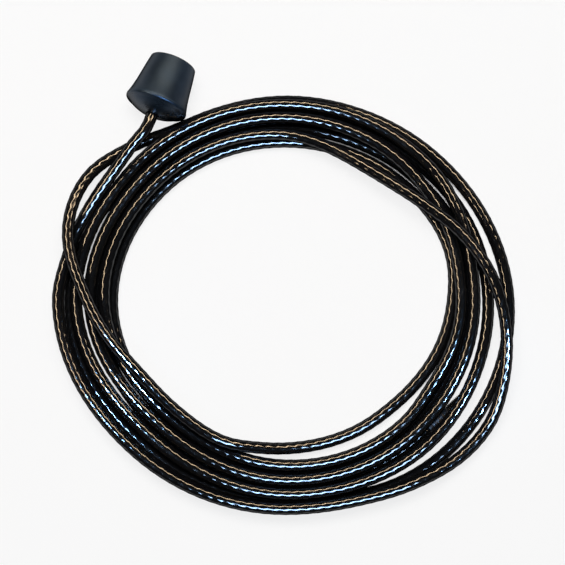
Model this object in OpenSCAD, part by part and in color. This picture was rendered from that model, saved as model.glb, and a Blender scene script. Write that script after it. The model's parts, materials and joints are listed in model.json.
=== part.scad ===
// A hand-coiled, jacketed wire rope with a rubber stop on one end and a swaged threaded stud on the other.
// The rope lies in a flat coil of seven and a half loops. The stop lies on its tapered side by the coil.
// All lengths are millimetres. Z is up, and z = 0 is the surface that the coil and the stop lie on.

/* [Cable] */
// Diameter of the wire rope inside the jacket
rope_d = 4.7; // [4:0.1:5]
// Wall of the plastic jacket
jacket_wall = 0.8; // [0.5:0.1:0.9]
// Radial gap between the wire rope and its jacket
rope_fit = 0.05; // [0.03:0.01:0.1]

/* [Coil] */
// Air between two loops that lie side by side or on each other
loop_gap = 0.6; // [0.5:0.1:0.8]
// Length of the straight stretch at each end of a run, counted in cable diameters
straight_ends = 1; // [1:0.1:1.2]

/* [Stop] */
// Diameter of the stop at its rim, the largest one
rim_d = 34.4; // [32:0.2:36]
// Diameter of the stop at its small end
small_d = 25.8; // [25:0.2:28]
// Length from the rim to the small end
stop_l = 26; // [25:0.5:32]
// Height of the dome behind the rim
dome_h = 6; // [4:0.5:7]
// Radius of the rounded rim
rim_edge_r = 1.3; // [0.8:0.1:1.8]
// Radius of the edge at the small end
small_edge_r = 1.1; // [0.6:0.1:1.5]
// Direction of the stop's axis in plan, from +X towards its small end, in degrees
stop_heading = 69.3; // [66:0.1:72]
// Air between the cable and the hole that it turns in
swivel_gap = 0.3; // [0.2:0.05:0.4]
// How far the stop and its washer slide along the cable from their seat
slide_travel = 1.5; // [0.5:0.5:2]
// Length of the cable that runs straight on behind the dome
exit_l = 8; // [7:0.5:9]

/* [Ball terminal] */
// Diameter of the ball
ball_d = 11; // [10:0.2:12]
// Diameter of the terminal's shank
shank_d = 8; // [7.4:0.2:8.4]
// Length of the shank from the ball's centre
shank_l = 13.5; // [12:0.5:15]
// How far the rope reaches past the ball's centre
rope_reach = 3; // [1:0.5:4]

/* [Cup washer] */
// Thickness of the washer
washer_t = 3; // [2.6:0.2:4]
// Depth of the dish that the ball sits in
dish_h = 2.4; // [1.8:0.2:2.6]
// Diameter of the pocket that the washer and the ball lie in
pocket_d = 19; // [17:0.5:20]

/* [End plug] */
// Thickness of the plug in the mouth of the pocket
plug_t = 2; // [1.5:0.5:3]
// Gap between the plug and the wall of the pocket
plug_fit = 0.05; // [0.02:0.01:0.1]
// Room between the ball and the plug when the stop is pushed back
plug_room = 0.5; // [0.3:0.1:1]

/* [Stud terminal] */
// Diameter of the swaged shank
stud_shank_d = 8; // [7.4:0.2:8.4]
// Length of the swaged shank
stud_shank_l = 15; // [14:1:18]
// Depth of the rope's socket in the shank
socket_l = 12; // [8:1:13]
// Diameter of the thread
thread_d = 6; // [5:0.5:6.5]
// Length of the thread
thread_l = 12; // [12:1:16]
// Chamfer on both ends of the terminal
stud_chamfer = 0.8; // [0.4:0.1:1]

/* [Hidden] */
$fn = 96;

// ---- cable, derived ----
rope_r = rope_d / 2;
bore_r = rope_r + rope_fit;
jacket_r = bore_r + jacket_wall;
jacket_d = 2 * jacket_r;
pitch = jacket_d + loop_gap;
// A lying run is cut flat a tenth of its diameter where it meets the surface.
run_z = jacket_r - jacket_d / 10;
sides = 6;
rings_per_loop = 24;
straight_l = straight_ends * jacket_d;
// How far a cut runs past the face that it opens.
over = jacket_wall;

// ---- stop, derived: u is the distance from the rim along the axis, towards the small end ----
rim_r = rim_d / 2;
small_r = small_d / 2;
rim_c = rim_r - rim_edge_r;
small_c = small_r - small_edge_r;
small_u = stop_l - small_edge_r;
side_l = norm([small_u, rim_c - small_c]);
// The stop lies on the line that touches both rounded edges.
stop_tilt = atan2(rim_c - small_c, small_u) + asin((rim_edge_r - small_edge_r) / side_l);
stop_z = rim_edge_r + rim_c * cos(stop_tilt);
ball_r = ball_d / 2;
shank_r = shank_d / 2;
pocket_r = pocket_d / 2;
hole_r = shank_r + swivel_gap;
seat_r = ball_r + swivel_gap;
seat_rise = sqrt(seat_r * seat_r - hole_r * hole_r) - dish_h;
ball_u = stop_l - plug_t - plug_room - slide_travel - ball_r;
washer_top = ball_u - seat_rise;
washer_u = washer_top - washer_t;
pocket_u = washer_u - swivel_gap;
shank_u = ball_u - shank_l;
cable_hole_r = jacket_r + swivel_gap;

// ---- the cable's route ----
// Radius of the innermost loop's circle at eight compass points: NW, W, SW, S, SE, E, NE, N.
LOOP_R = [93, 95.5, 87, 89.5, 93, 96.5, 93, 92];
FIRST_BEARING = 135;
// Each row: turns from the north-west, counter-clockwise; then how many pitches out; then how many up.
ROUTE = [
    [0.125, 3.6, 1], [0.25, 3.72, 1], [0.375, 3.2, 1], [0.43, 3.35, 1], [0.476, 4.15, 1],
    [0.512, 4.9, 0.45], [0.54, 5.05, 0.6], [0.5625, 4.6, 1.2], [0.625, 2.9, 2.3], [0.6875, 0.75, 2.4],
    [0.713, -0.15, 2.2], [0.75, -0.9, 1.85], [0.782, -1.12, 1.6], [0.8125, -0.95, 1.35],
    [0.875, -0.25, 1],
    [1, 0, 1], [1.25, 0, 1], [1.3125, -0.1, 1], [1.375, -0.1, 1], [1.5, 0, 1], [1.54, -0.25, 1],
    [1.6, -0.05, 1], [1.65, 0.05, 1], [1.7, 0.5, 1], [1.78, 0.95, 1.15], [1.875, 1.06, 1.15],
    [1.95, 1.06, 1.05],
    [2, 1.06, 1], [2.0625, 1.06, 1], [2.125, 1.15, 1], [2.25, 1, 1], [2.4, 1.03, 1], [2.5, 1.12, 1.2],
    [2.5625, 1.04, 1.2], [2.65, 1.1, 1], [2.69, 1.6, 1], [2.73, 2.1, 1], [2.76, 2.18, 1], [2.82, 2.2, 1],
    [2.875, 2.12, 1],
    [3, 2.12, 1], [3.03, 2.07, 1], [3.085, 2.13, 1], [3.125, 2.2, 1], [3.25, 2.1, 1], [3.4, 2.1, 1],
    [3.4375, 2.2, 1.1], [3.5, 2.44, 1.3], [3.54, 2.35, 1.2], [3.58, 2.2, 0.95], [3.625, 2.12, 0.5],
    [3.67, 2.12, 0.1], [3.71, 2.05, 0], [3.75, 1.87, 0], [3.8125, 1.56, 0], [3.875, 1.45, 0],
    [3.93, 1.39, 0],
    [4, 1.65, 0], [4.0625, 2.3, 0], [4.125, 2.85, 0], [4.25, 2.95, 0], [4.375, 2.6, 0], [4.43, 3, 0],
    [4.468, 3.5, 0], [4.5, 3.8, 0], [4.536, 3.95, 0], [4.58, 3.93, 0], [4.625, 3.75, 0], [4.6875, 3.4, 0],
    [4.75, 3.05, 0], [4.8125, 2.7, 0], [4.875, 2.53, 0], [4.93, 2.42, 0], [4.965, 2.6, 0],
    [5, 3.55, 0.4], [5.035, 4.35, 1.35], [5.075, 3.65, 2.25], [5.125, 1.3, 2.35], [5.19, -0.42, 2.15],
    [5.25, -0.65, 1.9], [5.3125, -0.72, 1.85], [5.35, -1.2, 1.15], [5.385, -1.45, 0.4],
    [5.42, -1.55, 0.05], [5.46, -1.57, 0], [5.5, -1.55, 0], [5.54, -1.3, 0], [5.58, -0.95, 0],
    [5.625, -0.58, 0], [5.66, -0.15, 0], [5.69, 0, 0], [5.75, -0.2, 0], [5.8125, -0.5, 0],
    [5.875, -0.65, 0], [5.94, -0.63, 0],
    [6, -0.55, 0], [6.125, -0.5, 0], [6.25, 0.2, 0], [6.3125, 0.4, 0], [6.5, 0.5, 0], [6.625, 0.52, 0],
    [6.66, 0.88, 0], [6.69, 1.02, 0], [6.75, 0.83, 0], [6.8125, 0.52, 0], [6.875, 0.42, 0],
    [6.93, 0.4, 0],
    [7, 0.57, 0], [7.0625, 0.6, 0], [7.125, 0.7, 0], [7.1875, 1, 0], [7.25, 1.3, 0], [7.375, 1.5, 0],
    [7.5, 1.6, 0.2]
];
// Points of the free stretch, from the stop to the coil.
FREE_POINTS = [[-80.5, 83.2, 17.8], [-90.2, 69.8, 15.6], [-99.3, 57.2, 13], [-107.4, 44, 10.7],
               [-114, 29, 9.7]];
// Centre of the rim in plan, and the middle of everything in plan, which becomes the origin.
STOP_XY = [-68, 105.1];
MIDDLE = [0.94, 9.31];
FREE_STEPS = 2;
// Straight pieces of the cable that lie fewer than this many apart aren't compared for the least gap.
NEAR_PIECES = 7;

// ---- curves through chosen rows ----
function cubic(a, b, slope_a, slope_b, h, f) =
    (2 * f * f * f - 3 * f * f + 1) * a + (f * f * f - 2 * f * f + f) * h * slope_a
    + (3 * f * f - 2 * f * f * f) * b + (f * f * f - f * f) * h * slope_b;
function row_before(t, i = 0) = (i >= len(ROUTE) - 2 || t <= ROUTE[i + 1][0]) ? i : row_before(t, i + 1);
function slope(i, c) =
    let (a = max(i - 1, 0), b = min(i + 1, len(ROUTE) - 1))
    (ROUTE[b][c] - ROUTE[a][c]) / (ROUTE[b][0] - ROUTE[a][0]);
function route_value(t, c) =
    let (i = row_before(t), h = ROUTE[i + 1][0] - ROUTE[i][0])
    cubic(ROUTE[i][c], ROUTE[i + 1][c], slope(i, c), slope(i + 1, c), h, (t - ROUTE[i][0]) / h);
function loop_r(t) =
    let (n = len(LOOP_R), s = (t - floor(t)) * n, i = floor(s),
         a = LOOP_R[(i + n - 1) % n], b = LOOP_R[i], c = LOOP_R[(i + 1) % n], d = LOOP_R[(i + 2) % n])
    cubic(b, c, (c - a) / 2, (d - b) / 2, 1, s - i);
function route_point(t) =
    let (r = loop_r(t) + pitch * route_value(t, 1), bearing = FIRST_BEARING + 360 * t)
    [r * cos(bearing) - MIDDLE.x, r * sin(bearing) - MIDDLE.y, run_z + pitch * route_value(t, 2)];

// ---- the stop's axis ----
stop_axis = [cos(stop_heading) * cos(stop_tilt), sin(stop_heading) * cos(stop_tilt), -sin(stop_tilt)];
rim_point = [STOP_XY.x - MIDDLE.x, STOP_XY.y - MIDDLE.y, stop_z];
function on_stop_axis(u) = rim_point + u * stop_axis;

// ---- the whole route as rings: [point, direction] ----
first_t = ROUTE[0][0];
last_t = ROUTE[len(ROUTE) - 1][0];
function unit(v) = v / norm(v);
T_STEP = 0.001;
first_dir = unit(route_point(first_t + T_STEP) - route_point(first_t));
last_dir = unit(route_point(last_t) - route_point(last_t - T_STEP));
coil_start = route_point(first_t);
stud_dir = unit([last_dir.x, last_dir.y, 0]);
coil_end = route_point(last_t);
stud_foot = [coil_end.x, coil_end.y, max(stud_shank_d / 2, run_z)] + straight_l * stud_dir;

exit_points = [on_stop_axis(shank_u), on_stop_axis(-dome_h), on_stop_axis(-dome_h - exit_l)];
free_knots = concat([for (p = exit_points) p], [for (p = FREE_POINTS) p - [MIDDLE.x, MIDDLE.y, 0]],
                    [coil_start - straight_l * first_dir, coil_start]);
function spline_point(p, i, f) =
    cubic(p[i], p[i + 1], (p[i + 1] - p[max(i - 1, 0)]) / 2, (p[min(i + 2, len(p) - 1)] - p[i]) / 2, 1, f);
lead_points = concat(
    [exit_points[0], exit_points[1]],
    [for (i = [2 : len(free_knots) - 3], s = [0 : FREE_STEPS - 1])
        spline_point(free_knots, i, s / FREE_STEPS)],
    [coil_start - straight_l * first_dir, coil_start]);
loop_count = (last_t - first_t) * rings_per_loop;
coil_points = concat(
    [coil_start, coil_start + straight_l * first_dir],
    [for (k = [1 : loop_count - 1]) route_point(first_t + k / rings_per_loop)],
    [stud_foot - straight_l * stud_dir, stud_foot]);

// ---- a tube of flat-topped six-sided rings ----
function direction(p, i) =
    let (ahead = min(i, len(p) - 2), behind = max(i - 1, 0))
    unit(unit(p[ahead + 1] - p[ahead]) + unit(p[behind + 1] - p[behind]));
function ring(point, dir, r, floor_z) =
    let (side = unit(cross([0, 0, 1], dir)), up = cross(dir, side))
    [for (k = [0 : sides - 1])
        let (q = point + r * (cos(360 * k / sides) * side + sin(360 * k / sides) * up))
        [q.x, q.y, max(q.z, floor_z)]];
function rings(p, r, floor_z) = [for (i = [0 : len(p) - 1], q = ring(p[i], direction(p, i), r, floor_z)) q];
function wall_faces(n, first, turned) = [for (i = [0 : n - 2], k = [0 : sides - 1])
    let (a = first + i * sides + k, b = first + i * sides + (k + 1) % sides, c = a + sides, d = b + sides)
    each turned ? [[a, c, b], [b, c, d]] : [[a, b, c], [b, d, c]]];
function cap_faces(first, turned) = [for (k = [1 : sides - 2])
    turned ? [first, first + k, first + k + 1] : [first, first + k + 1, first + k]];
function rim_faces(outer, inner, turned) = [for (k = [0 : sides - 1])
    let (a = outer + k, b = outer + (k + 1) % sides, c = inner + k, d = inner + (k + 1) % sides)
    each turned ? [[a, b, c], [b, d, c]] : [[a, c, b], [b, c, d]]];

module solid_tube(p, r) {
    n = len(p);
    polyhedron(rings(p, r, 0),
               concat(wall_faces(n, 0, true), cap_faces(0, true), cap_faces((n - 1) * sides, false)));
}

module hollow_tube(p, r, inner_r) {
    n = len(p);
    m = n * sides;
    polyhedron(concat(rings(p, r, 0), rings(p, inner_r, 0)),
               concat(wall_faces(n, 0, true), wall_faces(n, m, false),
                      rim_faces(0, m, true), rim_faces(m - sides, 2 * m - sides, false)));
}

// ---- the least gap of the cable to itself, between its straight pieces ----
route_points = concat(lead_points, [for (i = [1 : len(coil_points) - 1]) coil_points[i]]);
PROBES = 2;
probes = [for (i = [0 : len(route_points) - 2], s = [0 : PROBES - 1])
    [i, route_points[i] + s / PROBES * (route_points[i + 1] - route_points[i])]];
function to_piece(q, a, b) =
    let (f = max(0, min(1, ((q - a) * (b - a)) / ((b - a) * (b - a))))) norm(a + f * (b - a) - q);
function least_gap() = min([for (q = probes, j = [0 : len(route_points) - 2])
    if (abs(q[0] - j) >= NEAR_PIECES) to_piece(q[1], route_points[j], route_points[j + 1])]) - jacket_d;
function run_length(p, i = 0) = i >= len(p) - 1 ? 0 : norm(p[i + 1] - p[i]) + run_length(p, i + 1);

// ---- placing ----
module along_stop() {
    translate(rim_point) rotate([0, 90 + stop_tilt, stop_heading]) children();
}

module along_stud() {
    translate(stud_foot) rotate([0, 90, atan2(stud_dir.y, stud_dir.x)]) children();
}

// ---- parts ----
module jacket_coil() {
    color("#101114") hollow_tube(coil_points, jacket_r, bore_r);
}

module jacket_lead() {
    color("#101114") hollow_tube(lead_points, jacket_r, bore_r);
}

module wire_rope_coil() {
    color("#9a9c9e") solid_tube(concat(coil_points, [stud_foot + (socket_l - rope_fit) * stud_dir]), rope_r);
}

module wire_rope_lead() {
    color("#9a9c9e") solid_tube(concat([on_stop_axis(ball_u + rope_reach)], lead_points), rope_r);
}

module ball_terminal() {
    color("#8e9093") along_stop() difference() {
        union() {
            translate([0, 0, ball_u]) sphere(ball_r);
            translate([0, 0, shank_u]) cylinder(h = shank_l, r = shank_r);
        }
        translate([0, 0, shank_u - over]) cylinder(h = shank_l + rope_reach + rope_fit + over, r = bore_r);
    }
}

module stud_terminal() {
    stud_r = stud_shank_d / 2;
    thread_r = thread_d / 2;
    end_z = stud_shank_l + thread_l;
    color("#2a2b2d") along_stud() difference() {
        rotate_extrude() polygon([
            [0, 0], [stud_r - stud_chamfer, 0], [stud_r, stud_chamfer], [stud_r, stud_shank_l - stud_chamfer],
            [stud_r - stud_chamfer, stud_shank_l], [thread_r, stud_shank_l], [thread_r, end_z - stud_chamfer],
            [thread_r - stud_chamfer, end_z], [0, end_z]]);
        translate([0, 0, -over]) cylinder(h = socket_l + over, r = bore_r);
    }
}

// Half section of the stop: a crowned back, a rounded rim, a straight taper and a rounded small edge.
module stop_outline() {
    taper = stop_tilt;
    rim_start = -70;
    back_r = (rim_c * rim_c + dome_h * dome_h) / (2 * dome_h);
    back_angle = asin(rim_c / back_r);
    dome_steps = 10;
    edge_steps = 8;
    polygon(concat(
        [[0, -dome_h]],
        [for (k = [1 : dome_steps - 1])
            let (a = back_angle * k / dome_steps) [back_r * sin(a), back_r * (1 - cos(a)) - dome_h]],
        [for (k = [0 : edge_steps])
            let (a = rim_start + (taper - rim_start) * k / edge_steps)
            [rim_c + rim_edge_r * cos(a), rim_edge_r * sin(a)]],
        [for (k = [0 : edge_steps])
            let (a = taper + (90 - taper) * k / edge_steps)
            [small_c + small_edge_r * cos(a), small_u + small_edge_r * sin(a)]],
        [[0, stop_l]]));
}

module rubber_stop() {
    shank_floor = shank_u - swivel_gap;
    color("#1d2126") along_stop() difference() {
        rotate_extrude() stop_outline();
        translate([0, 0, -dome_h - over]) cylinder(h = dome_h + stop_l, r = cable_hole_r);
        translate([0, 0, shank_floor]) cylinder(h = stop_l, r = hole_r);
        translate([0, 0, pocket_u]) cylinder(h = stop_l, r = pocket_r);
    }
}

module stop_cup_washer() {
    color("#b0b2b4") along_stop() difference() {
        translate([0, 0, washer_u]) cylinder(h = washer_t, r = pocket_r - swivel_gap);
        translate([0, 0, washer_u - over]) cylinder(h = washer_t + 2 * over, r = hole_r);
        translate([0, 0, ball_u]) sphere(seat_r);
    }
}

module stop_end_plug() {
    color("#15171a") along_stop() translate([0, 0, stop_l - plug_t])
        cylinder(h = plug_t, r = pocket_r - plug_fit);
}

jacket_coil();
jacket_lead();
wire_rope_coil();
wire_rope_lead();
ball_terminal();
stud_terminal();
rubber_stop();
stop_cup_washer();
stop_end_plug();
echo(least_gap = least_gap(), cable_length = run_length(route_points));
echo(stop_axis = stop_axis, rim_point = rim_point, stud_foot = stud_foot,
                        stud_dir = stud_dir);
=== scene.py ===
"""Dresses a coiled, jacketed wire rope with a rubber stop on one end and a threaded stud on the other.

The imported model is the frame, in metres, and every piece is made where the model has it. The sizes of the
pieces are written in millimetres, and MM turns them into metres. What a finish measures is in metres.
"""

import json
import logging
import math
from dataclasses import dataclass
from enum import Enum
from typing import Any, Sequence, Union

import bpy
from mathutils import Matrix, Vector


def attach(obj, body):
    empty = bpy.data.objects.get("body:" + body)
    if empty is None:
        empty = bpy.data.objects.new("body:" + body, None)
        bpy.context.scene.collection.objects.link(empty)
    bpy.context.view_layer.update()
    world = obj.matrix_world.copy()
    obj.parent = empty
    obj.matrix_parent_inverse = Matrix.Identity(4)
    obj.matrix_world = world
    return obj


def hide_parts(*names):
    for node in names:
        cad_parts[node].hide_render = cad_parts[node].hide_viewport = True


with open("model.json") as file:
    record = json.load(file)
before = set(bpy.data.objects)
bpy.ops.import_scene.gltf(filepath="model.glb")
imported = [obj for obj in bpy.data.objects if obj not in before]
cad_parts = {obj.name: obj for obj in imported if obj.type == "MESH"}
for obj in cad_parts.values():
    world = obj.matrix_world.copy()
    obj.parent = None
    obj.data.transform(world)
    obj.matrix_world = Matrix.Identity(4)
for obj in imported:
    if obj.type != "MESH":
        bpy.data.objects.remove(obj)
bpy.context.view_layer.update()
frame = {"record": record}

LOG = logging.getLogger("cable")
MM = 0.001
Colour = tuple[float, float, float]


# ---------- shader maths


class Signal:
    """A number that runs through a material, with operators that add Math nodes."""

    def __init__(self, tree: bpy.types.NodeTree, socket: bpy.types.NodeSocket) -> None:
        """Keeps the tree and the socket that the number comes out of."""
        self.tree = tree
        self.socket = socket

    def _math(self, operation: str, *others: "Value", clamp: bool = False, flip: bool = False) -> "Signal":
        """Adds one Math node.

        Args:
            operation: The Math node's operation.
            others: The other operands, signals or plain numbers.
            clamp: Whether the result is held between 0 and 1.
            flip: Whether this signal is the second operand.

        Returns:
            The node's result.
        """
        node = self.tree.nodes.new("ShaderNodeMath")
        node.operation = operation
        node.use_clamp = clamp
        operands = [self, *others]
        if flip:
            operands.reverse()
        for socket, operand in zip(node.inputs, operands):
            if isinstance(operand, Signal):
                self.tree.links.new(operand.socket, socket)
            else:
                socket.default_value = operand
        return Signal(self.tree, node.outputs[0])

    def __add__(self, other: "Value") -> "Signal":
        """Sum."""
        return self._math("ADD", other)

    __radd__ = __add__

    def __mul__(self, other: "Value") -> "Signal":
        """Product."""
        return self._math("MULTIPLY", other)

    __rmul__ = __mul__

    def __sub__(self, other: "Value") -> "Signal":
        """Difference."""
        return self._math("SUBTRACT", other)

    def __rsub__(self, other: "Value") -> "Signal":
        """Difference, the other way round."""
        return self._math("SUBTRACT", other, flip=True)

    def __truediv__(self, other: "Value") -> "Signal":
        """Quotient."""
        return self._math("DIVIDE", other)

    def __pow__(self, other: "Value") -> "Signal":
        """Power."""
        return self._math("POWER", other)

    def clamped(self) -> "Signal":
        """This number held between 0 and 1."""
        return self._math("ADD", 0.0, clamp=True)

    def cosine(self) -> "Signal":
        """Cosine of this number, in radians."""
        return self._math("COSINE")

    def step(self, low: float, high: float) -> "Signal":
        """A smooth step.

        Args:
            low: The value at which the step is 0.
            high: The value at which the step is 1.

        Returns:
            The step, from 0 to 1.
        """
        node = self.tree.nodes.new("ShaderNodeMapRange")
        node.interpolation_type = "SMOOTHSTEP"
        self.tree.links.new(self.socket, node.inputs["Value"])
        node.inputs["From Min"].default_value = low
        node.inputs["From Max"].default_value = high
        return Signal(self.tree, node.outputs["Result"])


Value = Union[Signal, float]


class Bench:
    """A material under work: adds nodes, and plugs what varies into its shader."""

    def __init__(self, name: str) -> None:
        """Starts a material with one Principled shader.

        Args:
            name: The material's name.
        """
        self.material = bpy.data.materials.new(name)
        self.material.use_nodes = True
        self.tree = self.material.node_tree
        self.tree.nodes.clear()
        self.shader = self.tree.nodes.new("ShaderNodeBsdfPrincipled")
        self.output = self.tree.nodes.new("ShaderNodeOutputMaterial")
        self.tree.links.new(self.shader.outputs[0], self.output.inputs["Surface"])

    def node(self, kind: str, settings: dict[str, Any], values: dict[Any, Any]) -> bpy.types.Node:
        """Adds any node.

        Args:
            kind: The node's type name.
            settings: Attributes that are set first.
            values: Numbers, signals or sockets for the node's inputs, by name or place.

        Returns:
            The new node.
        """
        node = self.tree.nodes.new(kind)
        for key, value in settings.items():
            setattr(node, key, value)
        for key, value in values.items():
            self.feed(node, key, value)
        return node

    def feed(self, node: bpy.types.Node, key: Any, value: Any) -> None:
        """Links one input of a node, or writes a plain value there.

        Args:
            node: The node.
            key: The input's name or place.
            value: A signal or a socket, which is linked, or a number, a colour or a vector.
        """
        source = value.socket if isinstance(value, Signal) else value
        if isinstance(source, bpy.types.NodeSocket):
            self.tree.links.new(source, node.inputs[key])
        else:
            node.inputs[key].default_value = source

    def signal(self, socket: bpy.types.NodeSocket) -> Signal:
        """A socket as a signal."""
        return Signal(self.tree, socket)

    def place(self) -> bpy.types.NodeSocket:
        """The point on the piece, in metres."""
        return self.node("ShaderNodeTexCoord", {}, {}).outputs["Object"]

    def along(self, origin: Vector, axis: Vector) -> Signal:
        """Distance of the surface from a point, along an axis.

        Args:
            origin: The point, in metres.
            axis: The axis, of length 1.

        Returns:
            The distance in millimetres.
        """
        offset = self.node("ShaderNodeVectorMath", {"operation": "SUBTRACT"}, {0: self.place(), 1: origin})
        dot = self.node("ShaderNodeVectorMath", {"operation": "DOT_PRODUCT"}, {0: offset.outputs[0], 1: axis})
        return self.signal(dot.outputs["Value"]) / MM

    def lay_map(self) -> tuple[Signal, Signal, Signal]:
        """The cable's own map.

        Returns:
            The distance along the cable in millimetres, the turn round it in strands, and the valley
            between two strands, from 0 on a crest to 1 at its bottom.
        """
        lay = self.node("ShaderNodeUVMap", {"uv_map": LAY_MAP}, {})
        split = self.node("ShaderNodeSeparateXYZ", {}, {0: lay.outputs[0]})
        along, around = self.signal(split.outputs[0]), self.signal(split.outputs[1])
        return along, around, 0.5 - 0.5 * (around * math.tau).cosine()

    def noise(self, size: float, detail: float = 3.0, stretch: Sequence[float] = (1.0, 1.0, 1.0)) -> Signal:
        """Noise from 0 to 1 on the piece's coordinates, with its largest grains' size in metres."""
        values = {0: self.place(), 1: Vector(stretch) / size}
        return self.grains(self.node("ShaderNodeVectorMath", {"operation": "MULTIPLY"}, values), detail)

    def map_noise(self, along: Signal, around: Signal, length: float, width: float) -> Signal:
        """Noise from 0 to 1 that follows the cable, with lengths in millimetres and widths in strands."""
        return self.grains(self.node("ShaderNodeCombineXYZ", {}, {0: along / length, 1: around / width}), 2.0)

    def grains(self, point: bpy.types.Node, detail: float) -> Signal:
        """Noise at the point that a node gives, from 0 to 1."""
        values = {"Vector": point.outputs[0], "Scale": 1.0, "Detail": detail}
        return self.signal(self.node("ShaderNodeTexNoise", {}, values).outputs["Fac"])

    def blend(self, mask: Signal, low: Colour, high: Colour) -> bpy.types.NodeSocket:
        """The socket of a colour that goes from low to high as the mask goes from 0 to 1."""
        ends = {6: (*low, 1.0), 7: (*high, 1.0)}
        return self.node("ShaderNodeMix", {"data_type": "RGBA"}, {0: mask, **ends}).outputs[2]

    def emboss(self, height: Signal, depth: float, strength: float = 1.0) -> None:
        """Gives the surface a relief, from a height of 0 to 1 and the depth of a full step in metres."""
        bump = self.node("ShaderNodeBump", {}, {"Height": height, "Distance": depth, "Strength": strength})
        self.tree.links.new(bump.outputs[0], self.shader.inputs["Normal"])

    def shade_turned_edge(self, colour: Colour, start: float, end: float) -> None:
        """Paints shade where the surface turns away from the camera: a flat dark film takes the place of the
        gloss there.

        Args:
            colour: The colour of the painted shade.
            start: How far the surface has turned away where the film starts to show, from 0 to 1.
            end: How far it has turned away where only the film shows.
        """
        # painted shade: a flat dark film over the gloss towards the silhouette
        film = self.node("ShaderNodeBsdfDiffuse", {}, {"Color": (*colour, 1.0), "Roughness": 1.0})
        turned = self.signal(self.node("ShaderNodeLayerWeight", {}, {"Blend": 0.5}).outputs["Facing"])
        self.cover(film, turned.step(start, end))

    def cover(self, layer: bpy.types.Node, share: Signal) -> None:
        """Lays another shader over the material's own, as far as its share, from 0 to 1, lets it show."""
        mix = self.node("ShaderNodeMixShader", {}, {0: share, 1: self.shader.outputs[0], 2: layer.outputs[0]})
        self.tree.links.new(mix.outputs[0], self.output.inputs["Surface"])

    def finish(self, colour: Any, roughness: Value, **fixed: Any) -> bpy.types.Material:
        """Sets the shader.

        Args:
            colour: A colour, or a colour's socket.
            roughness: A number or a signal.
            fixed: Other numbers or colours, by the shader's socket names with _ for a space.

        Returns:
            The finished material.
        """
        base = colour if isinstance(colour, bpy.types.NodeSocket) else (*colour, 1.0)
        for key, value in {"Base_Color": base, "Roughness": roughness, **fixed}.items():
            self.feed(self.shader, key.replace("_", " "), value)
        return self.material


LAY_MAP = "lay"


# ---------- finishes


@dataclass(frozen=True)
class JacketFinish:
    """Glossy extruded plastic, drawn tight over the rope's strands."""

    name: str = "jacket_gloss_black"
    black: Colour = (0.0035, 0.0036, 0.0042)
    dusty: Colour = (0.016, 0.014, 0.012)
    gloss: float = 0.09
    handled: float = 0.07
    smudge_size: float = 0.03
    dust_size: float = 0.012
    # Lengths along the cable are in millimetres, and widths round it in strands.
    scuff_length: float = 14.0
    scuff_width: float = 0.35
    ripple_length: float = 3.0
    ripple_width: float = 0.5
    ripple: float = 0.000004
    edge_start: float = 0.28
    edge_end: float = 0.62

    def build(self) -> bpy.types.Material:
        """Makes the material.

        Returns:
            Black gloss, duller where it was handled, with a trace of dust between the strands.
        """
        bench = Bench(self.name)
        along, around, valley = bench.lay_map()
        smudges = bench.noise(self.smudge_size).step(0.35, 0.75)
        scuffs = bench.map_noise(along, around, self.scuff_length, self.scuff_width).step(0.62, 0.8)
        dust = (valley ** 3.0) * bench.noise(self.dust_size).step(0.45, 0.8)
        bench.emboss(bench.map_noise(along, around, self.ripple_length, self.ripple_width), self.ripple)
        colour = bench.blend((dust * 0.6 + scuffs * 0.2).clamped(), self.black, self.dusty)
        roughness = self.gloss + smudges * self.handled + scuffs * 0.08 + dust * 0.1
        # painted shade along the jacket's silhouettes
        bench.shade_turned_edge(self.black, self.edge_start, self.edge_end)
        return bench.finish(colour, roughness.clamped(), IOR=1.49)


@dataclass(frozen=True)
class WireFinish:
    """Bright galvanised strands, with the wires' fine lines along them."""

    name: str = "wire_rope_bright"
    zinc: Colour = (0.42, 0.43, 0.45)
    groove_dark: Colour = (0.10, 0.095, 0.09)
    wires_per_strand: float = 5.0
    wires_per_mm: float = 0.12
    wire_depth: float = 0.00008

    def build(self) -> bpy.types.Material:
        """Makes the material.

        Returns:
            Bright zinc, dark between the strands.
        """
        bench = Bench(self.name)
        along, around, valley = bench.lay_map()
        phase = around * self.wires_per_strand + along * self.wires_per_mm
        wires = 0.5 + 0.5 * (phase * math.tau).cosine()
        bench.emboss(wires, self.wire_depth, 0.8)
        # darker towards the bottom of each valley between two strands, by depth alone
        colour = bench.blend((valley ** 2.0).clamped(), self.zinc, self.groove_dark)
        return bench.finish(colour, 0.34 + valley * 0.3, Metallic=1.0)


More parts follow.
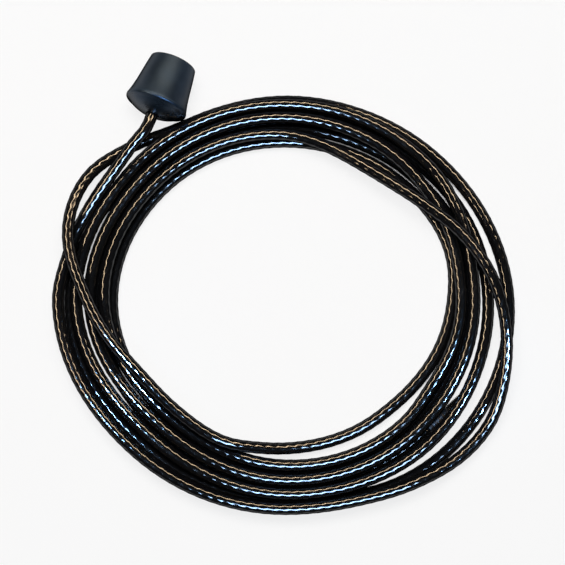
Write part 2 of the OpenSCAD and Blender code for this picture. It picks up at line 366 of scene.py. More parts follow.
@dataclass(frozen=True)
class RubberFinish:
    """Moulded black rubber: a satin side, a painted highlight along the parting line and a smoother back."""

    name: str = "stop_rubber_blue_sheen"
    # the rubber's own near black, with a blue tint painted in for a cool sheen
    black_with_blue_sheen: Colour = (0.0035, 0.0070, 0.0115)
    bloom_and_ridge_highlight: Colour = (0.016, 0.027, 0.040)
    satin: float = 0.40
    shine: float = 0.4
    shine_tint: Colour = (0.42, 0.64, 1.0)
    edge_start: float = 0.45
    edge_end: float = 0.85
    # Heights above the rim in millimetres, from where a zone starts to change to where it has changed.
    ridge_highlight_start: tuple[float, float] = (-0.1, 0.35)
    ridge_highlight_end: tuple[float, float] = (0.75, 1.5)
    back_end: tuple[float, float] = (-1.5, 0.2)

    def build(self, rim: Vector, axis: Vector) -> bpy.types.Material:
        """Makes the material.

        Args:
            rim: The centre of the stop's rim.
            axis: The stop's axis, towards its small end.

        Returns:
            Dark rubber, with a blue tint painted in for a cool sheen.
        """
        bench = Bench(self.name)
        height = bench.along(rim, axis)
        # painted highlight: the band of the parting line is painted paler
        ridge = height.step(*self.ridge_highlight_start) * (1.0 - height.step(*self.ridge_highlight_end))
        back = 1.0 - height.step(*self.back_end)
        cloud = bench.noise(0.011, 4.0).step(0.35, 0.72)
        grain = bench.noise(0.0006, 3.0)
        wipe = bench.noise(0.006, 3.0, (1.0, 1.0, 0.35)).step(0.5, 0.8)
        bench.emboss(grain * 0.7 + cloud * 0.3, 0.00006, 0.55)
        colour = bench.blend((cloud * 0.28 + ridge * 0.75 + wipe * 0.12).clamped(), self.black_with_blue_sheen, self.bloom_and_ridge_highlight)
        roughness = self.satin + cloud * 0.10 + grain * 0.06 - back * 0.20
        # painted shade along the stop's silhouettes
        bench.shade_turned_edge(self.black_with_blue_sheen, self.edge_start, self.edge_end)
        shine = {"Specular_IOR_Level": self.shine, "Specular_Tint": (*self.shine_tint, 1.0)}
        return bench.finish(colour, roughness.clamped(), IOR=1.52, **shine)


@dataclass(frozen=True)
class SteelFinish:
    """Turned or pressed steel."""

    name: str
    bright: Colour
    dull: Colour
    roughness: float = 0.3
    metallic: float = 1.0

    def build(self) -> bpy.types.Material:
        """Makes the material.

        Returns:
            Steel with fine scratches and a patchy film.
        """
        bench = Bench(self.name)
        film = bench.noise(0.004, 4.0).step(0.4, 0.75)
        scratches = bench.noise(0.0008, 2.0, (1.0, 1.0, 8.0))
        bench.emboss(scratches, 0.00003, 0.5)
        colour = bench.blend(film, self.bright, self.dull)
        return bench.finish(colour, self.roughness + film * 0.15 + scratches * 0.05, Metallic=self.metallic)


@dataclass(frozen=True)
class PlugFinish:
    """Satin moulded plastic."""

    name: str = "plug_satin_black"
    black: Colour = (0.012, 0.013, 0.015)
    worn: Colour = (0.035, 0.036, 0.038)

    def build(self) -> bpy.types.Material:
        """Makes the material.

        Returns:
            Satin black with faint wear.
        """
        bench = Bench(self.name)
        wear = bench.noise(0.003, 4.0).step(0.5, 0.8)
        bench.emboss(bench.noise(0.0005), 0.00004, 0.5)
        return bench.finish(bench.blend(wear, self.black, self.worn), 0.42 + wear * 0.15)


class Steel(Enum):
    """The steel finishes on the cable's hardware."""

    SWAGED = SteelFinish("terminal_swaged", (0.50, 0.50, 0.52), (0.30, 0.30, 0.31), 0.28)
    PRESSED = SteelFinish("washer_zinc", (0.58, 0.58, 0.60), (0.40, 0.41, 0.42), 0.30)
    BLACKENED = SteelFinish("stud_black_oxide", (0.030, 0.031, 0.034), (0.055, 0.052, 0.050), 0.36, 0.85)


# ---------- mesh work


def leave_nothing_selected() -> None:
    """Deselects every object, so that an operator acts on the new one alone."""
    if bpy.context.object and bpy.context.object.mode != "OBJECT":
        bpy.ops.object.mode_set(mode="OBJECT")
    bpy.ops.object.select_all(action="DESELECT")


Station = tuple[float, float]
# Radius of the ring that closes a turned piece at its axis, in millimetres.
NEEDLE = 0.02


def turn_piece(name: str, stations: Sequence[Station], segments: int = 96) -> bpy.types.Object:
    """Turns a closed piece about Z, as on a lathe: a ring is extruded and sized from station to station.

    Args:
        name: The piece's name.
        stations: Radius and height of each ring in millimetres. The last ring meets the first.
        segments: How many sides a ring has.

    Returns:
        The new object, in edit order from first to last station.
    """
    leave_nothing_selected()
    first_radius, first_height = stations[0]
    bpy.ops.mesh.primitive_circle_add(vertices=segments, radius=first_radius * MM, fill_type="NOTHING")
    piece = bpy.context.object
    piece.name = name
    bpy.ops.object.mode_set(mode="EDIT")
    bpy.ops.mesh.select_all(action="SELECT")
    bpy.ops.transform.translate(value=(0, 0, first_height * MM))
    for (radius, height), (next_radius, next_height) in zip(stations, [*stations[1:], stations[0]]):
        rise = (next_height - height) * MM
        bpy.ops.mesh.extrude_region_move(TRANSFORM_OT_translate={"value": (0, 0, rise)})
        growth = next_radius / radius
        bpy.ops.transform.resize(value=(growth, growth, 1), center_override=(0, 0, next_height * MM))
    bpy.ops.mesh.select_all(action="SELECT")
    bpy.ops.mesh.remove_doubles(threshold=0.001 * MM)
    bpy.ops.mesh.normals_make_consistent(inside=False)
    bpy.ops.object.mode_set(mode="OBJECT")
    return piece


def seat_piece(piece: bpy.types.Object, origin: Vector, axis: Vector, smooth_angle: float = 32.0) -> None:
    """Puts a piece made about Z onto its axis, and leaves its object at the origin.

    Args:
        piece: The piece.
        origin: Where its own origin goes.
        axis: Where its Z goes.
        smooth_angle: Edges flatter than this many degrees shade smooth.
    """
    leave_nothing_selected()
    piece.matrix_world = Matrix.Translation(origin) @ axis.to_track_quat("Z", "Y").to_matrix().to_4x4()
    piece.select_set(True)
    bpy.context.view_layer.objects.active = piece
    bpy.ops.object.transform_apply(location=True, rotation=True, scale=True)
    bpy.ops.object.shade_smooth_by_angle(angle=math.radians(smooth_angle))
    leave_nothing_selected()


def arc(centre: Station, radius: float, start: float, end: float, steps: int) -> list[Station]:
    """Points by radius and height on an arc. Its angles in degrees turn from straight outwards to up."""
    turns = [math.radians(start + (end - start) * k / steps) for k in range(steps + 1)]
    return [(centre[0] + radius * math.cos(a), centre[1] + radius * math.sin(a)) for a in turns]


def dress(piece: bpy.types.Object, material: bpy.types.Material, body: str) -> None:
    """Gives a piece its finish and the body that it rides on, and reports it.

    Args:
        piece: The piece.
        material: Its finish.
        body: The body that it rides on.
    """
    piece.data.materials.clear()
    piece.data.materials.append(material)
    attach(piece, body)
    LOG.info("%s: %d faces, on %s", piece.name, len(piece.data.polygons), body)


# ---------- the route


@dataclass(frozen=True)
class StopPlace:
    """Where the stop lies: its rim, its axis, and what is on the axis, in millimetres from the rim."""

    rim: Vector
    axis: Vector
    back: float = -6.0
    straight: float = 8.0
    shank_end: float = 2.5
    ball: float = 16.0
    rope_end: float = 3.0
    length: float = 26.0

    @classmethod
    def from_record(cls, record: dict[str, Any]) -> "StopPlace":
        """Reads the stop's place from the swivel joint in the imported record."""
        swivel = next(joint for joint in record["behaviour"]["joints"] if joint["name"] == "stop_swivel")
        return cls(Vector(swivel["pos_m"]), Vector(swivel["axis"]).normalized())

    def at(self, distance: float) -> Vector:
        """The point on the axis at a distance from the rim, in millimetres."""
        return self.rim + self.axis * distance * MM


@dataclass(frozen=True)
class StudPlace:
    """Where the stud lies: the foot of its shank and its direction."""

    foot: Vector
    axis: Vector
    shank_length: float = 15.0
    thread_length: float = 12.0
    chamfer: float = 0.8

    @classmethod
    def from_record(cls, record: dict[str, Any]) -> "StudPlace":
        """Reads the place from the thread's mount, which names the middle of the thread.

        Args:
            record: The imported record.

        Returns:
            The stud's place.
        """
        thread = next(mount for mount in record["mounts"] if mount["name"] == "stud_thread")
        axis = Vector(thread["axis"]).normalized()
        to_middle = cls.shank_length + (cls.thread_length - cls.chamfer) / 2
        return cls(Vector(thread["pos_m"]) - axis * to_middle * MM, axis)


@dataclass(frozen=True)
class CableRoute:
    """The line that the cable follows, from the stop's ball to the stud."""

    stop: StopPlace
    stud: StudPlace
    diameter: float = 6.4
    gap: float = 0.6
    middle: tuple[float, float] = (0.94, 9.31)
    first_bearing: float = 135.0
    steps_per_loop: int = 96
    free_steps: int = 6
    tail_turns: float = 0.125
    knot_turns: float = 1 / 24
    easings: int = 3

    # Radius of the innermost loop's circle at eight compass points: NW, W, SW, S, SE, E, NE, N.
    LOOP_R = (93, 95.5, 87, 89.5, 93, 96.5, 93, 92)
    # Turns from the north-west, counter-clockwise; then how many pitches out; then how many up.
    ROUTE = (
        (0.125, 3.6, 1), (0.25, 3.72, 1), (0.375, 3.2, 1), (0.43, 3.35, 1), (0.476, 4.15, 1),
        (0.512, 4.9, 0.45), (0.54, 5.05, 0.6), (0.5625, 4.6, 1.2), (0.625, 2.9, 2.3), (0.6875, 0.75, 2.4),
        (0.713, -0.15, 2.2), (0.75, -0.9, 1.85), (0.782, -1.12, 1.6), (0.8125, -0.95, 1.35),
        (0.875, -0.25, 1),
        (1, 0, 1), (1.25, 0, 1), (1.3125, -0.1, 1), (1.375, -0.1, 1), (1.5, 0, 1), (1.54, -0.25, 1),
        (1.6, -0.05, 1), (1.65, 0.05, 1), (1.7, 0.5, 1), (1.78, 0.95, 1.15), (1.875, 1.06, 1.15),
        (1.95, 1.06, 1.05),
        (2, 1.06, 1), (2.0625, 1.06, 1), (2.125, 1.15, 1), (2.25, 1, 1), (2.4, 1.03, 1), (2.5, 1.12, 1.2),
        (2.5625, 1.04, 1.2), (2.65, 1.1, 1), (2.69, 1.6, 1), (2.73, 2.1, 1), (2.76, 2.18, 1), (2.82, 2.2, 1),
        (2.875, 2.12, 1),
        (3, 2.12, 1), (3.03, 2.07, 1), (3.085, 2.13, 1), (3.125, 2.2, 1), (3.25, 2.1, 1), (3.4, 2.1, 1),
        (3.4375, 2.2, 1.1), (3.5, 2.44, 1.3), (3.54, 2.35, 1.2), (3.58, 2.2, 0.95), (3.625, 2.12, 0.5),
        (3.67, 2.12, 0.1), (3.71, 2.05, 0), (3.75, 1.87, 0), (3.8125, 1.56, 0), (3.875, 1.45, 0),
        (3.93, 1.39, 0),
        (4, 1.65, 0), (4.0625, 2.3, 0), (4.125, 2.85, 0), (4.25, 2.95, 0), (4.375, 2.6, 0), (4.43, 3, 0),
        (4.468, 3.5, 0), (4.5, 3.8, 0), (4.536, 3.95, 0), (4.58, 3.93, 0), (4.625, 3.75, 0), (4.6875, 3.4, 0),
        (4.75, 3.05, 0), (4.8125, 2.7, 0), (4.875, 2.53, 0), (4.93, 2.42, 0), (4.965, 2.6, 0),
        (5, 3.55, 0.4), (5.035, 4.35, 1.35), (5.075, 3.65, 2.25), (5.125, 1.3, 2.35), (5.19, -0.42, 2.15),
        (5.25, -0.65, 1.9), (5.3125, -0.72, 1.85), (5.35, -1.2, 1.15), (5.385, -1.45, 0.4),
        (5.42, -1.55, 0.05), (5.46, -1.57, 0), (5.5, -1.55, 0), (5.54, -1.3, 0), (5.58, -0.95, 0),
        (5.625, -0.58, 0), (5.66, -0.15, 0), (5.69, 0, 0), (5.75, -0.2, 0), (5.8125, -0.5, 0),
        (5.875, -0.65, 0), (5.94, -0.63, 0),
        (6, -0.55, 0), (6.125, -0.5, 0), (6.25, 0.2, 0), (6.3125, 0.4, 0), (6.5, 0.5, 0), (6.625, 0.52, 0),
        (6.66, 0.88, 0), (6.69, 1.02, 0), (6.75, 0.83, 0), (6.8125, 0.52, 0), (6.875, 0.42, 0),
        (6.93, 0.4, 0),
        (7, 0.57, 0), (7.0625, 0.6, 0), (7.125, 0.7, 0), (7.1875, 1, 0), (7.25, 1.3, 0), (7.375, 1.5, 0),
        (7.5, 1.6, 0.2),
    )
    # Points of the free stretch, from the stop to the coil, before the middle is taken off.
    FREE_POINTS = (
        (-80.5, 83.2, 17.8), (-90.2, 69.8, 15.6), (-99.3, 57.2, 13), (-107.4, 44, 10.7), (-114, 29, 9.7),
    )

    @staticmethod
    def cubic(a: Any, b: Any, slope_a: Any, slope_b: Any, span: float, f: float) -> Any:
        """A smooth step from one value to the next.

        Args:
            a: The first value, a number or a vector.
            b: The second value.
            slope_a: The slope at the first.
            slope_b: The slope at the second.
            span: The distance between them.
            f: Where on the way, from 0 to 1.

        Returns:
            The value there.
        """
        return (
            a * (2 * f**3 - 3 * f**2 + 1)
            + slope_a * ((f**3 - 2 * f**2 + f) * span)
            + b * (3 * f**2 - 2 * f**3)
            + slope_b * ((f**3 - f**2) * span)
        )

    def spline(self, four: Sequence[Any], f: float) -> Any:
        """A smooth curve between the middle two of four values at even steps, where f goes from 0 to 1."""
        a, b, c, d = four
        return self.cubic(b, c, (c - a) / 2, (d - b) / 2, 1, f)

    def slope(self, row: int, column: int) -> float:
        """The slope of one column of the route at a row."""
        before, after = self.ROUTE[max(row - 1, 0)], self.ROUTE[min(row + 1, len(self.ROUTE) - 1)]
        return (after[column] - before[column]) / (after[0] - before[0])

    def value(self, turn: float, column: int) -> float:
        """One column of the route at a turn."""
        last = len(self.ROUTE) - 2
        row = next((i for i in range(last) if turn <= self.ROUTE[i + 1][0]), last)
        start, end = self.ROUTE[row], self.ROUTE[row + 1]
        span = end[0] - start[0]
        return self.cubic(
            start[column], end[column], self.slope(row, column), self.slope(row + 1, column),
            span, (turn - start[0]) / span,
        )

    def loop_radius(self, turn: float) -> float:
        """Radius of the innermost loop's circle at a turn."""
        i, f = divmod((turn % 1) * len(self.LOOP_R), 1)
        return self.spline([self.LOOP_R[(int(i) + k) % len(self.LOOP_R)] for k in (-1, 0, 1, 2)], f)

    def coil_point(self, turn: float) -> Vector:
        """A point of the coil.

        The lowest runs lie with their full round on the surface, and the last run comes to the stud's height.

        Args:
            turn: Turns from the north-west.

        Returns:
            The point, in metres.
        """
        pitch = self.diameter + self.gap
        radius = self.loop_radius(turn) + pitch * self.value(turn, 1)
        bearing = math.radians(self.first_bearing + 360 * turn)
        flat = self.diameter / 10
        left = (self.ROUTE[-1][0] - turn) / self.tail_turns
        lift = flat * min(1.0, max(0.0, left))
        height = self.diameter / 2 - flat + lift + pitch * max(0.0, self.value(turn, 2))
        return Vector((radius * math.cos(bearing) - self.middle[0],
                       radius * math.sin(bearing) - self.middle[1], height)) * MM

    def coil(self) -> list[Vector]:
        """Points of the coil, with a straight diameter of cable before the stud."""
        first, last = self.ROUTE[0][0], self.ROUTE[-1][0]
        count = round((last - first) * self.steps_per_loop)
        turns = [first + (last - first) * k / count for k in range(count)]
        end = self.stud.foot
        return [*map(self.coil_point, turns), end - self.stud.axis * self.diameter * MM, end]

    def free_stretch(self) -> list[Vector]:
        """Points from the ball's shank out of the stop and down to the coil."""
        shift = Vector((*self.middle, 0))
        chosen = [(Vector(point) - shift) * MM for point in self.FREE_POINTS]
        stop = self.stop
        out = [stop.at(distance) for distance in (stop.shank_end, stop.back, stop.back - stop.straight)]
        first = self.ROUTE[0][0]
        knots = [*out, *chosen, self.coil_point(first), self.coil_point(first + self.knot_turns)]
        points = out[:2]
        for i in range(2, len(knots) - 2):
            points += [self.spline(knots[i - 1 : i + 3], k / self.free_steps) for k in range(self.free_steps)]
        return points

    def line(self, step: float) -> list[Vector]:
        """The whole line at an even step.

        Args:
            step: The step, in millimetres.

        Returns:
            Points from the ball's shank to the stud.
        """
        rough = [*self.free_stretch(), *self.coil()]
        marks = [0.0]
        for a, b in zip(rough, rough[1:]):
            marks.append(marks[-1] + (b - a).length)
        count = round(marks[-1] / (step * MM))
        points = []
        i = 0
        for k in range(count + 1):
            mark = marks[-1] * k / count
            while i < len(rough) - 2 and mark > marks[i + 1]:
                i += 1
            points.append(rough[i].lerp(rough[i + 1], (mark - marks[i]) / (marks[i + 1] - marks[i])))
        for _ in range(self.easings):
            points = self.eased(points)
        return points

    @staticmethod
    def eased(points: list[Vector]) -> list[Vector]:
        """The same line with its corners eased, and both ends kept."""
        inner = [(a + 2 * b + c) / 4 for a, b, c in zip(points, points[1:], points[2:])]
        return [points[0], *inner, points[-1]]


# ---------- the cable


@dataclass
class LaidTube:
    """A tube whose skin follows strands laid round it. Its vertices run along the strands."""

    name: str
    radius: float
    valley: float
    lay: float = 34.5
    strands: int = 6
    sides_per_strand: int = 4
    step: float = 2.0
    sharpness: float = 0.8

    def skin_radius(self, side: int) -> float:
        """Radius of the skin at a side, in metres: full on a strand's crest, less between two strands."""
        phase = side / self.sides_per_strand
        depth = (0.5 - 0.5 * math.cos(math.tau * phase)) ** self.sharpness
        return (self.radius - self.valley * depth) * MM

    def build(self, line: Sequence[Vector]) -> bpy.types.Object:
        """Makes the tube along a line.

        Args:
            line: The points that it follows, at an even step.

        Returns:
            The tube, closed at both ends, with its own map: millimetres along it and strands round it.
        """
        sides = self.strands * self.sides_per_strand
        vertices: list[Vector] = []
        distance = 0.0
        marks: list[float] = []
        for i, point in enumerate(line):
            ahead, behind = line[min(i + 1, len(line) - 1)], line[max(i - 1, 0)]
            run = (ahead - behind).normalized()
            out = Vector((0, 0, 1)).cross(run).normalized()
            up = run.cross(out)
            if i:
                distance += (point - line[i - 1]).length / MM
            marks.append(distance)
            twist = math.tau * distance / self.lay
            for k in range(sides):
                angle = math.tau * k / sides + twist
                vertices.append(point + (out * math.cos(angle) + up * math.sin(angle)) * self.skin_radius(k))
        rings = len(line)
        faces = []
        for i in range(rings - 1):
            near, far = i * sides, (i + 1) * sides
            for k in range(sides):
                after = (k + 1) % sides
                faces.append((near + k, near + after, far + after, far + k))
        faces.append(tuple(range(sides - 1, -1, -1)))
        faces.append(tuple((rings - 1) * sides + k for k in range(sides)))
        mesh = bpy.data.meshes.new(self.name)
        mesh.from_pydata([v[:] for v in vertices], [], faces)
        self.map_skin(mesh, marks, sides)
        mesh.shade_smooth()
        mesh.update()
        tube = bpy.data.objects.new(self.name, mesh)
        bpy.context.scene.collection.objects.link(tube)
        return tube

    def map_skin(self, mesh: bpy.types.Mesh, marks: Sequence[float], sides: int) -> None:
        """Writes the tube's map.

        Args:
            mesh: The tube's mesh.
            marks: Distance of each ring along the tube, in millimetres.
            sides: How many sides a ring has.
        """
        layer = mesh.uv_layers.new(name=LAY_MAP)
        wall = (len(marks) - 1) * sides
        for number, face in enumerate(mesh.polygons):
            ring, side = divmod(number, sides)
            if number >= wall:
                continue
            corners = ((ring, side), (ring, side + 1), (ring + 1, side + 1), (ring + 1, side))
            for loop, (i, k) in zip(face.loop_indices, corners):
                layer.data[loop].uv = (marks[i], k / self.sides_per_strand)


@dataclass
class Cable:
    """The jacketed rope, from the ball in the stop to the stud. Its whole length is in metres."""

    route: CableRoute
    jacket_radius: float = 3.33
    jacket_valley: float = 0.12
    rope_radius: float = 2.3
    rope_valley: float = 0.35
    jacket_step: float = 1.6
    rope_step: float = 3.0
    socket_depth: float = 11.0
    length: float = 4.83
    body: str = "cable"

    def build(self) -> None:
        line = self.route.line(self.jacket_step)
        jacket = LaidTube("cable_jacket", self.jacket_radius, self.jacket_valley).build(line)
        rope = self.build_rope()
        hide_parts("jacket_coil", "jacket_lead")
        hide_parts("wire_rope_coil", "wire_rope_lead")
        dress(jacket, JacketFinish().build(), self.body)
        dress(rope, WireFinish().build(), self.body)
        self.route.diameter * MM
        measured = sum((b - a).length for a, b in zip(line, line[1:]))
        LOG.info("cable: %.3f m along its line", measured)

    def build_rope(self) -> bpy.types.Object:
        """Makes the bare rope.

        Returns:
            The rope, which reaches into the ball and into the stud's socket.
        """
        stop, stud = self.route.stop, self.route.stud
        line = self.route.line(self.rope_step)
        reach = round((stop.ball + stop.rope_end - stop.shank_end) / self.rope_step)
        before = [stop.at(stop.shank_end + self.rope_step * k) for k in range(reach, 0, -1)]
        depth = round(self.socket_depth / self.rope_step)
        after = [stud.foot + stud.axis * self.rope_step * k * MM for k in range(1, depth + 1)]
        tube = LaidTube("rope_strands", self.rope_radius, self.rope_valley, sides_per_strand=3, sharpness=0.7)
        return tube.build([*before, *line, *after])


# ---------- the stop


@dataclass
class Stop:
    """The rubber stop: a domed back, a rounded rim with its parting line, a tapered side and a pocket."""

    place: StopPlace
    rim_radius: float = 17.2
    rim_edge: float = 1.3
    small_radius: float = 12.9
    small_edge: float = 1.1
    lip_width: float = 0.8
    dome_power: float = 2.6
    dome_share: float = 0.98
    side_hollow: float = 0.35
    ridge: float = 0.22
    cable_hole: float = 3.5
    shank_hole: float = 4.3
    shank_floor: float = 2.2
    pocket_radius: float = 9.5
    pocket_floor: float = 11.2
    mouth_round: float = 0.5
    body: str = "stop"

    def back(self) -> list[Station]:
        """The domed back, from the cable's hole to the rim's round, with a soft lip round the hole."""
        hole, back = self.cable_hole, self.place.back
        reach = self.rim_radius - self.rim_edge
        steps = 14
        stations = [(hole, back + 0.55), (hole + 0.25, back + 0.15)]
        for k in range(1, steps):
            radius = hole + self.lip_width + (reach - hole - self.lip_width) * (k / steps)
            depth = 1 - (radius / self.rim_radius) ** self.dome_power
            stations.append((radius, back * depth * self.dome_share))
        return stations

    def rim(self) -> list[Station]:
        """The rounded rim, with the thin raised line where the mould parts."""
        centre = (self.rim_radius - self.rim_edge, 0.0)
        lower = arc(centre, self.rim_edge, -52, -8, 5)
        line = [
            (self.rim_radius - 0.02, 0.1),
            (self.rim_radius, 0.35),
            (self.rim_radius - 0.02, 0.6),
            (self.rim_radius - self.ridge, 0.8),
        ]
        return lower + line

    def side(self) -> list[Station]:
        """The side: it flares into the rim, then runs almost straight to the small end."""
        steps = 16
        start = (self.rim_radius - self.ridge - 0.05, 1.2)
        end = (self.small_radius, self.place.length - self.small_edge)
        stations = []
        for k in range(steps + 1):
            f = k / steps
            radius = start[0] + (end[0] - start[0]) * f
            flare = self.side_hollow * math.sin(math.pi * f) * (1 - f) ** 1.5 * 2.2
            stations.append((radius - flare, start[1] + (end[1] - start[1]) * f))
        return stations

    def small_end(self) -> list[Station]:
        """The rounded edge of the small end and the pocket's mouth."""
        length = self.place.length
        centre = (self.small_radius - self.small_edge, length - self.small_edge)
        edge = arc(centre, self.small_edge, 12, 90, 6)
        mouth = [
            (self.pocket_radius + self.mouth_round, length),
            (self.pocket_radius + self.mouth_round * 0.3, length - self.mouth_round * 0.3),
            (self.pocket_radius, length - self.mouth_round),
        ]
        return edge + mouth

    def inside(self) -> list[Station]:
        """The pocket, the shank's bore and the cable's hole, back to the start."""
        return [
            (self.pocket_radius, self.pocket_floor),
            (self.shank_hole, self.pocket_floor),
            (self.shank_hole, self.shank_floor),
            (self.cable_hole, self.shank_floor),
        ]

    def build(self) -> None:
        """Makes the stop, seats it on its axis and dresses it."""
        stations = self.back() + self.rim() + self.side() + self.small_end() + self.inside()
        rubber = turn_piece("stop_rubber", stations, 128)
        seat_piece(rubber, self.place.rim, self.place.axis)
        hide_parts("rubber_stop")
        dress(rubber, RubberFinish().build(self.place.rim, self.place.axis), self.body)


@dataclass
class EndPlug:
    """The plug in the mouth of the stop's pocket: a dished disc with a raised edge and a gate mark."""

    place: StopPlace
    radius: float = 9.42
    thickness: float = 2.0
    edge: float = 0.35
    border: float = 1.4
    dish: float = 0.5
    gate_radius: float = 1.1
    gate_height: float = 0.25
    body: str = "stop"

    def stations(self) -> list[Station]:
        """The plug's outline, from the middle of its inner face to the middle of its outer one."""
        top, bottom = self.place.length, self.place.length - self.thickness
        dish = top - self.dish
        return [
            (NEEDLE, bottom), (self.radius - self.edge, bottom), (self.radius, bottom + self.edge),
            *arc((self.radius - self.edge, top - self.edge), self.edge, 0, 90, 4),
            (self.radius - self.border, top), (self.radius - self.border - 0.3, top - 0.15),
            (self.radius - self.border - 0.6, dish), (self.gate_radius + 0.2, dish),
            (self.gate_radius, dish + self.gate_height * 0.7),
            (self.gate_radius - 0.3, dish + self.gate_height), (NEEDLE, dish + self.gate_height * 0.9),
        ]

    def build(self) -> None:
        """Makes the plug, seats it in the pocket and dresses it."""
        plug = turn_piece("stop_plug", self.stations(), 72)
        seat_piece(plug, self.place.rim, self.place.axis)
        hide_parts("stop_end_plug")
        dress(plug, PlugFinish().build(), self.body)


# ---------- the stud


@dataclass
class Stud:
    """The swaged stud on the far end: a shank with die marks, and a rolled thread."""

    place: StudPlace
    shank_radius: float = 4.0
    thread_radius: float = 3.0
    root_depth: float = 0.55
    pitch: float = 1.0
    socket_radius: float = 2.42
    socket_depth: float = 12.0
    die_marks: int = 5
    mark_reach: float = 0.35
    mark_depth: float = 0.12
    segments: int = 48
    thread_rings_per_pitch: int = 8
    body: str = "cable"

    def shank(self) -> list[Station]:
        """The shank's outline, from the socket's mouth to the shoulder, with shallow die marks."""
        length, chamfer, radius = self.place.shank_length, self.place.chamfer, self.shank_radius
        stations = [(self.socket_radius, 0.0), (radius - chamfer, 0.0), (radius, chamfer)]
        span = (length - 2 * chamfer) / self.die_marks
        for k in range(1, self.die_marks):
            height = chamfer + span * k
            stations += [
                (radius, height - self.mark_reach),
                (radius - self.mark_depth, height),
                (radius, height + self.mark_reach),
            ]
        root = self.thread_radius - self.root_depth
        return [*stations, (radius, length - chamfer), (radius - chamfer, length), (root, length)]

    def thread(self) -> list[Station]:
        """Plain rings along the thread's length, which are cut into a helix afterwards."""
        start = self.place.shank_length
        count = round(self.place.thread_length / self.pitch * self.thread_rings_per_pitch)
        step = self.place.thread_length / count
        return [(self.thread_radius - self.root_depth, start + step * k) for k in range(1, count + 1)]

    def build(self) -> None:
        """Turns the stud, rolls its thread, seats it and dresses it."""
        end = self.place.shank_length + self.place.thread_length
        core = [(NEEDLE, end), (NEEDLE, self.socket_depth), (self.socket_radius, self.socket_depth)]
        stations = [*self.shank(), *self.thread(), *core]
        stud = turn_piece("end_stud", stations, self.segments)
        self.roll_thread(stud)
        seat_piece(stud, self.place.foot, self.place.axis, 40.0)
        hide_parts("stud_terminal")
        dress(stud, Steel.BLACKENED.value.build(), self.body)

    def roll_thread(self, stud: bpy.types.Object) -> None:
        """Raises the thread's crests along a helix, and tapers it in at its end.

        Args:
            stud: The turned stud, still about Z.
        """
        root = (self.thread_radius - self.root_depth) * MM
        start = self.place.shank_length
        end = start + self.place.thread_length
        for vertex in stud.data.vertices:
            radius = math.hypot(vertex.co.x, vertex.co.y)
            height = vertex.co.z / MM
            if height <= start + 0.2 or abs(radius - root) > 0.05 * MM:
                continue
            phase = (height / self.pitch - math.atan2(vertex.co.y, vertex.co.x) / math.tau) % 1.0
            crest = 1 - abs(2 * phase - 1)
            lead_in = min(1.0, (height - start) / 1.5) * min(1.0, (end - height) / self.place.chamfer)
            growth = (root + self.root_depth * MM * min(1.0, crest * 1.25) * lead_in) / radius
            vertex.co.x *= growth
            vertex.co.y *= growth


# ---------- hardware kept from the model


@dataclass
class Hardware:
    """The ball terminal and the cup washer, whose own solids are right and get their finish here."""

    finishes: tuple[tuple[str, Steel], ...] = (
        ("ball_terminal", Steel.SWAGED),
        ("stop_cup_washer", Steel.PRESSED),
    )

    def build(self) -> None:
        """Gives each node its finish."""
        for node, steel in self.finishes:
            piece = bpy.data.objects[node]
            material = steel.value.build()
            if piece.material_slots:
                for slot in piece.material_slots:
                    slot.material = material
            else:
                piece.data.materials.append(material)
            LOG.info("%s: %s", node, material.name)


# ---------- studio


def hang(name: str, data: bpy.types.ID, location: Vector, back: Vector) -> bpy.types.Object:
    """Puts a lamp or the camera into the scene.

    Args:
        name: The object's name.
        data: The lamp or the camera itself.
        location: Where it goes.
        back: The direction from what it faces to where it is.

    Returns:
        The new object.
    """
    thing = bpy.data.objects.new(name, data)
    thing.location = location
    thing.rotation_mode = "QUATERNION"
    thing.rotation_quaternion = back.to_track_quat("Z", "Y")
    bpy.context.scene.collection.objects.link(thing)
    return thing


class Role(Enum):
    """What a lamp is for."""

    PLAIN = "lights every surface evenly"
    SHEEN = "shows only in gloss, as a far window or a lit wall does"


@dataclass(frozen=True)
class Lamp:
    """A soft lamp, placed by its bearing and height in the sky."""

    name: str
    bearing: float
    elevation: float
    distance: float
    width: float
    depth: float
    power: float
    colour: Colour
    role: Role = Role.SHEEN
    aim: float = 0.0
    spread: float = 180.0

    def build(self, target: Vector) -> None:
        """Hangs the lamp, facing the middle of the object, or its near side where it has an aim.

        Args:
            target: The middle of the object.
        """
        data = bpy.data.lights.new(self.name, "AREA")
        data.shape = "RECTANGLE"
        data.size = self.width
        data.size_y = self.depth
        data.energy = self.power
        data.color = self.colour
        data.spread = math.radians(self.spread)
        bearing, elevation = math.radians(self.bearing), math.radians(self.elevation)
        east, north = math.cos(bearing), math.sin(bearing)
        level = math.cos(elevation)
        away = Vector((east * level, north * level, math.sin(elevation))) * self.distance
        near = Vector((east, north, 0)) * self.aim
        lamp = hang(self.name, data, target + away, away - near)
        lamp.visible_camera = False
        lamp.visible_diffuse = self.role is Role.PLAIN
        lamp.visible_glossy = self.role is Role.SHEEN


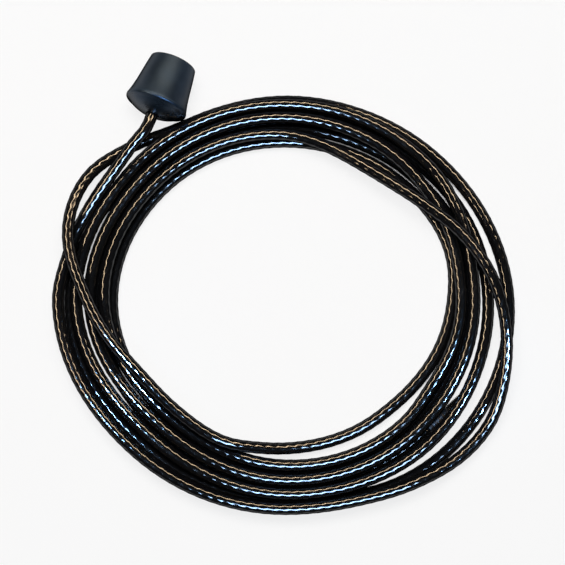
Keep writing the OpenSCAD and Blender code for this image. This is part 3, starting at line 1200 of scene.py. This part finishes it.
@dataclass
class Studio:
    """Camera, pale floor, world and lamps."""

    target: Vector
    camera_elevation: float = 84.0
    camera_distance: float = 1.2
    view_width: float = 0.3070
    sensor: float = 36.0
    floor_size: float = 3.0
    floor_depth: float = 0.0003
    floor_colour: Colour = (0.9, 0.9, 0.9)
    floor_roughness: float = 0.9
    floor_glow: float = 0.82
    # The floor's glow starts at the first share of open air within reach, and is full at the second.
    shade_reach: float = 0.012
    shade_band: tuple[float, float] = (0.08, 0.2)
    shade_samples: int = 16
    world_colour: Colour = (0.85, 0.92, 1.0)
    world_strength: float = 0.05

    lamps: tuple[Lamp, ...] = (
        Lamp("plain_soft_top", 100, 72, 1.2, 0.7, 0.5, 12.0, (1.0, 0.98, 0.96), Role.PLAIN),
        Lamp("cool_window", 282, 62, 1.0, 0.50, 0.24, 30.0, (0.40, 0.64, 1.0)),
        Lamp("cool_side_left", 212, 55, 0.30, 0.03, 0.03, 0.04, (0.30, 0.58, 1.0), aim=0.08, spread=22.0),
        Lamp("cool_side_right", 338, 40, 0.35, 0.05, 0.03, 0.07, (0.30, 0.58, 1.0), aim=0.13, spread=22.0),
    )
    wall_bearings: tuple[float, ...] = tuple(41.25 + 22.5 * k for k in range(8))
    wall_elevation: float = 50.0
    wall_height: float = 0.11
    wall_power: float = 3.2
    wall_colour: Colour = (1.0, 0.74, 0.47)

    def build_camera(self) -> None:
        """Makes the camera, which looks down on the coil a little from the front."""
        elevation = math.radians(self.camera_elevation)
        back = Vector((0, -math.cos(elevation), math.sin(elevation)))
        data = bpy.data.cameras.new("camera")
        data.sensor_width = self.sensor
        data.lens = self.sensor * self.camera_distance / self.view_width
        location = self.target + back * self.camera_distance
        bpy.context.scene.camera = hang("camera", data, location, back)

    def warm_wall(self) -> list[Lamp]:
        """A low warm band that stands round the object and shows as one thin line along each run."""
        spacing = math.radians(self.wall_bearings[1] - self.wall_bearings[0])
        width = 2 * math.cos(math.radians(self.wall_elevation)) * math.tan(spacing / 2)
        return [
            Lamp(f"warm_wall_{k}", bearing, self.wall_elevation, 1.0, width, self.wall_height,
                 self.wall_power, self.wall_colour)
            for k, bearing in enumerate(self.wall_bearings)
        ]

    def build_floor(self) -> None:
        """Makes the pale floor, which shows white and keeps a soft shadow, also between two close runs."""
        leave_nothing_selected()
        bpy.ops.mesh.primitive_plane_add(size=self.floor_size, location=(0, 0, 0))
        floor = bpy.context.object
        floor.name = "floor"
        floor.data.transform(Matrix.Translation((0, 0, -self.floor_depth)))
        bench = Bench("floor_white")
        rays = bench.node("ShaderNodeLightPath", {}, {})
        seen = bench.signal(rays.outputs["Is Camera Ray"])
        for name in ("Is Glossy Ray", "Is Transmission Ray"):
            seen = seen + bench.signal(rays.outputs[name])
        glow = bench.node("ShaderNodeEmission", {}, {"Color": (1, 1, 1, 1), "Strength": 1.0})
        bench.finish(self.floor_colour, self.floor_roughness)
        settings, values = {"samples": self.shade_samples}, {"Distance": self.shade_reach}
        open_air = bench.signal(bench.node("ShaderNodeAmbientOcclusion", settings, values).outputs["AO"])
        bench.cover(glow, seen.clamped() * open_air.step(*self.shade_band) * self.floor_glow)
        floor.data.materials.append(bench.material)

    def build_world(self) -> None:
        """Makes a dim sky, which shows white only to the camera."""
        world = bpy.data.worlds.new("studio")
        bpy.context.scene.world = world
        world.use_nodes = True
        nodes, links = world.node_tree.nodes, world.node_tree.links
        background = nodes["Background"]
        background.inputs["Color"].default_value = (*self.world_colour, 1.0)
        rays = nodes.new("ShaderNodeLightPath")
        share = Signal(world.node_tree, rays.outputs["Is Camera Ray"]) * (1.0 - self.world_strength)
        strength = share + self.world_strength
        links.new(strength.socket, background.inputs["Strength"])

    def light(self) -> None:
        """Makes the floor, the world and the lamps, and sets the view."""
        self.build_floor()
        self.build_world()
        for lamp in (*self.lamps, *self.warm_wall()):
            lamp.build(self.target)
        bpy.context.scene.view_settings.view_transform = "Standard"


# ---------- all of it


def main() -> None:
    """Builds the cable, its stop and its stud, and lights them."""
    logging.basicConfig(level=logging.INFO, format="%(name)s: %(message)s")
    record = frame["record"]
    stop, stud = StopPlace.from_record(record), StudPlace.from_record(record)
    studio = Studio(Vector((-0.67, 1.22, 0)) * MM)
    studio.build_camera()
    Cable(CableRoute(stop, stud)).build()
    Stop(stop).build()
    EndPlug(stop).build()
    Stud(stud).build()
    Hardware().build()
    studio.light()


if __name__ == "__main__":
    main()
